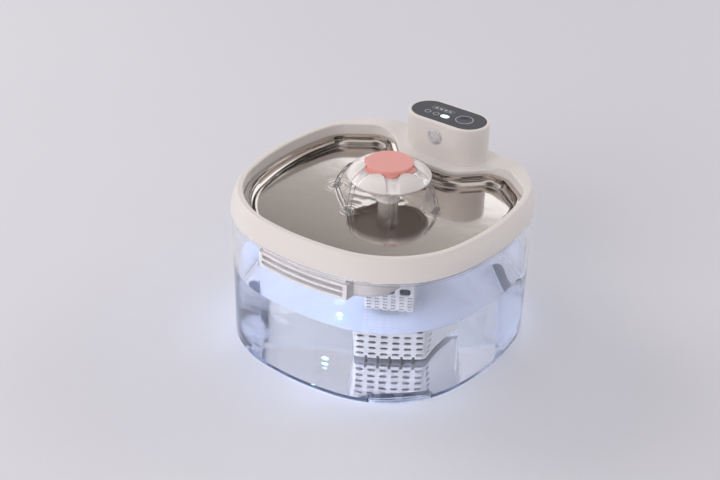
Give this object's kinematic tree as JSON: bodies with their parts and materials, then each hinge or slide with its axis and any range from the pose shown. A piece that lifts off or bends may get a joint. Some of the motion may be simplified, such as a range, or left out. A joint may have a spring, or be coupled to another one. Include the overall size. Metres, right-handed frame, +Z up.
{
  "type": "pet water fountain",
  "caption": "Wireless pet drinking fountain: clear rounded-square tank, lid with steel tray and petal fountain head, lift-off battery pod, hanging pump basket.",
  "frame": {"origin": "on the ground under the middle of the tank", "axes": "+Z up, -Y the drinking side, +Y the side of the battery pod, +X to the right seen from the drinking side"},
  "size_m": [0.207, 0.214, 0.1445],
  "materials": {
    "clear_plastic": "clear moulded copolyester, polished",
    "white_plastic": "warm white moulded ABS, fine satin texture",
    "inner_white_plastic": "off-white moulded ABS, satin",
    "stainless_steel": "deep-drawn stainless sheet, satin brushed",
    "petal_plastic": "off-white moulded ABS, semi-gloss",
    "pink_plastic": "coral pink moulded ABS, satin",
    "display_plastic": "smoked polycarbonate window, polished",
    "sensor_plastic": "grey polyethylene Fresnel lens, matt",
    "basket_plastic": "frosted translucent polypropylene",
    "pump_plastic": "grey moulded ABS",
    "impeller_plastic": "blue moulded acetal",
    "steel_pin": "ground stainless pin",
    "rubber_pad": "grey silicone rubber",
    "filter_fibre": "white needled filter fibre with carbon granules inside",
    "foam": "black open-cell foam",
    "light_plastic": "frosted light guide",
    "board": "green solder mask",
    "copper": "enamelled copper winding",
    "contact_gold": "gold-plated contact",
    "battery_wrap": "heat-shrink sleeve over cells",
    "led_white": "white LED packages"
  },
  "bodies": {
    "tank_body": {"tank": "clear_plastic", "foot_pads": "rubber_pad"},
    "lid": {"top_ring": "white_plastic", "deck": "inner_white_plastic", "deck_screws": "steel_pin", "filter_pad": "filter_fibre", "riser_tube": "inner_white_plastic", "light_lens": "light_plastic", "transmit_coil": "copper", "contact_pads": "contact_gold"},
    "tray": {"steel_tray": "stainless_steel"},
    "flower": {"flower_stem": "petal_plastic", "flower_dome": "petal_plastic"},
    "cap": {"flower_cap": "pink_plastic"},
    "pod": {"pod_shell": "white_plastic", "pod_base": "white_plastic", "display_lens": "display_plastic", "touch_electrode": "copper", "indicator_leds": "led_white", "circuit_board": "board", "battery_pack": "battery_wrap", "sensor_lens": "sensor_plastic", "motion_sensor": "steel_pin", "charge_socket": "steel_pin", "contact_pins": "contact_gold"},
    "flap": {"port_flap": "white_plastic"},
    "pump_unit": {"pump_basket": "basket_plastic", "basket_lid": "basket_plastic", "pump_body": "pump_plastic", "pump_cover": "pump_plastic", "impeller_shaft": "steel_pin", "foam_filter": "foam", "receive_coil": "copper"},
    "rotor": {"impeller": "impeller_plastic"}
  },
  "joints": [
    {"name": "lid_lift", "type": "slide", "parent": "tank_body", "child": "lid", "axis": [0, 0, 1], "range_m": [0, 0.12]},
    {"name": "tray_lift", "type": "slide", "parent": "lid", "child": "tray", "axis": [0, 0, 1], "range_m": [0, 0.05]},
    {"name": "flower_lift", "type": "slide", "parent": "tray", "child": "flower", "axis": [0, 0, 1], "range_m": [0, 0.04]},
    {"name": "cap_lift", "type": "slide", "parent": "flower", "child": "cap", "axis": [0, 0, 1], "range_m": [0, 0.02]},
    {"name": "pod_lift", "type": "slide", "parent": "lid", "child": "pod", "axis": [0, 0, 1], "range_m": [0, 0.05]},
    {"name": "flap_hinge", "type": "hinge", "parent": "pod", "child": "flap", "pos_m": [0, 0.09935, 0.13195], "axis": [1, 0, 0], "range_deg": [0, 90]},
    {"name": "pump_swivel", "type": "hinge", "parent": "lid", "child": "pump_unit", "pos_m": [0, 0.0055, 0.077], "axis": [0, 0, 1], "range_deg": [-60, 60]},
    {"name": "impeller_spin", "type": "hinge", "parent": "pump_unit", "child": "rotor", "pos_m": [0.006, 0.0089, 0.025], "axis": [0.4924, -0.8704, 0], "continuous": true}
  ]
}
